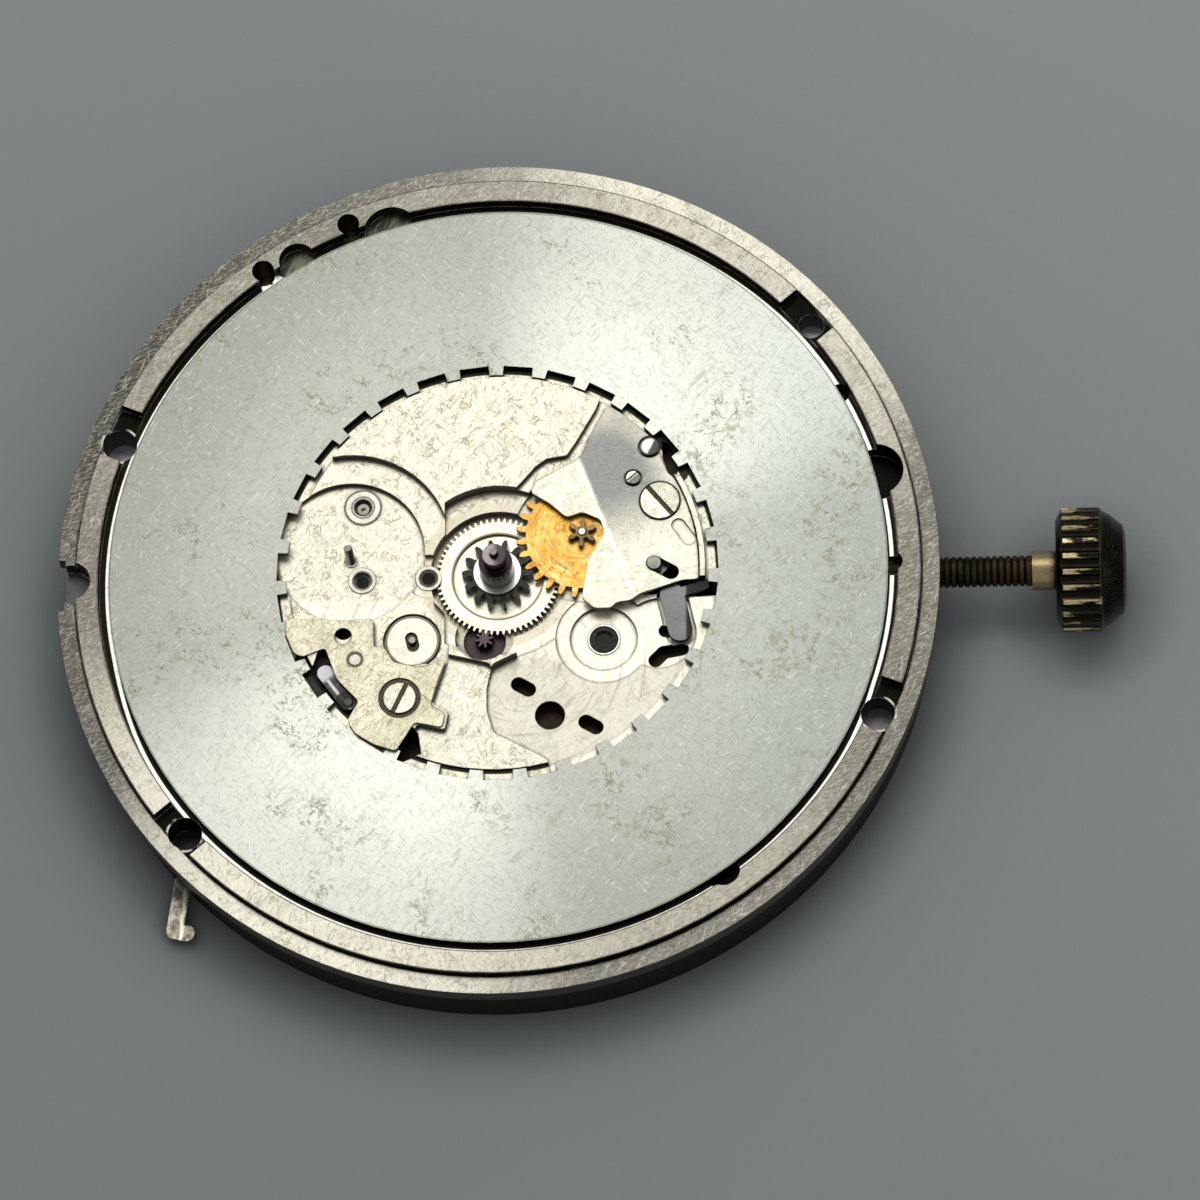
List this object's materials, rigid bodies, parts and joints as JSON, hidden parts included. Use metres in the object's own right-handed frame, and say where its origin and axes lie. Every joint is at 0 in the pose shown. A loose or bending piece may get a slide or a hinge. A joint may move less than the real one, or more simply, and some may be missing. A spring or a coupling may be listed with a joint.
{
  "type": "quartz watch movement",
  "caption": "Round quartz watch movement, dial side up, with a blank date ring, toothed centre train, gold minute wheel, winding stem and fluted crown.",
  "frame": {"origin": "on the centre axis, in the plane of the dial seat", "axes": "+Z from the back to the dial, +X along the winding stem to the crown"},
  "size_m": [0.0314, 0.026, 0.0043],
  "materials": {
    "plate_nickel": "nickel plated, bead dull, scratched",
    "keeper_nickel": "nickel plated, warm tarnish",
    "disc_nickel": "nickel plated",
    "bushing_brass": "nickel plated, polished ring",
    "polished_steel": "polished",
    "screw_steel": "brushed head",
    "grey_steel": "fine grained",
    "strap_steel": "worn",
    "dark_steel": "dark, polished",
    "ring_nickel": "nickel plated, stained",
    "wheel_nickel": "nickel plated",
    "wheel_brass": "polished",
    "gold_plate": "gold plated",
    "rusty_steel": "rusty",
    "worn_bronze": "dark patina, worn bright on its high spots",
    "magnet": "sintered",
    "copper_wire": "fine enamelled wire",
    "board_green": "lacquered",
    "black_resin": "resin drop",
    "can_steel": "drawn can",
    "amber_film": "film"
  },
  "bodies": {
    "movement": {"main_plate": "plate_nickel", "bushings": "bushing_brass", "steady_pins": "polished_steel", "date_wheel_stud": "polished_steel", "minute_stud": "polished_steel", "corrector_stud": "polished_steel", "centre_tube": "bushing_brass", "date_jumper_pivot": "polished_steel", "date_keeper": "keeper_nickel", "date_keeper_screw": "screw_steel", "setting_lever_jumper": "grey_steel", "jumper_screw": "screw_steel", "setting_lever_pivot": "polished_steel", "yoke_pivot": "polished_steel", "stator": "grey_steel", "coil_core": "grey_steel", "coil_winding": "copper_wire", "stator_screws": "screw_steel", "circuit_board": "board_green", "circuit_chip": "black_resin", "quartz_crystal": "can_steel", "board_screws": "screw_steel", "battery": "can_steel", "battery_contact": "gold_plate", "battery_insulator": "amber_film", "battery_strap": "strap_steel", "strap_screw": "screw_steel", "train_bridge": "plate_nickel", "bridge_screws": "screw_steel"},
    "date_ring": {"date_ring": "ring_nickel"},
    "date_jumper": {"date_jumper": "grey_steel"},
    "corrector_disc": {"corrector_disc": "disc_nickel"},
    "centre_wheel": {"cannon_pinion": "dark_steel", "driving_wheel": "wheel_nickel"},
    "minute_wheel": {"minute_wheel": "gold_plate", "minute_pinion": "dark_steel"},
    "setting_lever": {"setting_lever": "polished_steel"},
    "yoke": {"yoke": "grey_steel"},
    "sliding_pinion": {"sliding_pinion": "dark_steel"},
    "winding_stem": {"stem": "rusty_steel", "crown": "worn_bronze"},
    "third_wheel": {"third_wheel": "wheel_brass"},
    "seconds_wheel": {"seconds_wheel": "wheel_brass"},
    "intermediate_wheel": {"intermediate_wheel": "wheel_brass"},
    "rotor": {"rotor": "dark_steel", "rotor_magnet": "magnet"}
  },
  "joints": [
    {"name": "date_turn", "type": "hinge", "parent": "movement", "child": "date_ring", "pos_m": [0, 0, -0.00025], "axis": [0, 0, 1], "continuous": true},
    {"name": "date_jumper_swing", "type": "hinge", "parent": "movement", "child": "date_jumper", "pos_m": [-0.00435, -0.004, -0.00025], "axis": [0, 0, 1], "range_deg": [-6, 0]},
    {"name": "corrector_turn", "type": "hinge", "parent": "movement", "child": "corrector_disc", "pos_m": [-0.0025, -0.00208, -0.00042], "axis": [0, 0, 1], "continuous": true},
    {"name": "seconds_turn", "type": "hinge", "parent": "movement", "child": "seconds_wheel", "pos_m": [0, 0, -0.0017], "axis": [0, 0, 1], "continuous": true},
    {"name": "centre_turn", "type": "hinge", "parent": "movement", "child": "centre_wheel", "pos_m": [0, 0, -0.0005], "axis": [0, 0, 1], "continuous": true},
    {"name": "minute_turn", "type": "hinge", "parent": "movement", "child": "minute_wheel", "pos_m": [0.0025, 0.00117, -0.00044], "axis": [0, 0, 1], "continuous": true},
    {"name": "third_turn", "type": "hinge", "parent": "movement", "child": "third_wheel", "pos_m": [-0.0004, -0.00197, -0.00144], "axis": [0, 0, 1], "continuous": true},
    {"name": "intermediate_turn", "type": "hinge", "parent": "movement", "child": "intermediate_wheel", "pos_m": [-0.0005, 0.0021, -0.0022], "axis": [0, 0, 1], "continuous": true},
    {"name": "rotor_turn", "type": "hinge", "parent": "movement", "child": "rotor", "pos_m": [-0.001, 0.00392, -0.0018], "axis": [0, 0, 1], "continuous": true},
    {"name": "crown_turn", "type": "hinge", "parent": "movement", "child": "sliding_pinion", "pos_m": [0.0062, 0, -0.00105], "axis": [1, 0, 0], "continuous": true},
    {"name": "crown_pull", "type": "slide", "parent": "sliding_pinion", "child": "winding_stem", "axis": [1, 0, 0], "range_m": [0, 0.0005]},
    {"name": "setting_lever_swing", "type": "hinge", "parent": "movement", "child": "setting_lever", "pos_m": [0.0055, 0.0011, -0.0006], "axis": [0, 0, 1], "range_deg": [0, 25.6]},
    {"name": "yoke_swing", "type": "hinge", "parent": "movement", "child": "yoke", "pos_m": [0.00538, -0.00188, -0.0004], "axis": [0, 0, 1], "range_deg": [0, 2]}
  ],
  "couplings": [
    {"joint": "centre_turn", "follows": "seconds_turn", "ratio": 0.016667},
    {"joint": "minute_turn", "follows": "seconds_turn", "ratio": -0.0083333},
    {"joint": "third_turn", "follows": "seconds_turn", "ratio": -0.13333},
    {"joint": "intermediate_turn", "follows": "seconds_turn", "ratio": -5},
    {"joint": "rotor_turn", "follows": "seconds_turn", "ratio": 30},
    {"joint": "setting_lever_swing", "follows": "crown_pull", "rad_per_m": 891.7},
    {"joint": "yoke_swing", "follows": "crown_pull", "rad_per_m": 69.464}
  ]
}
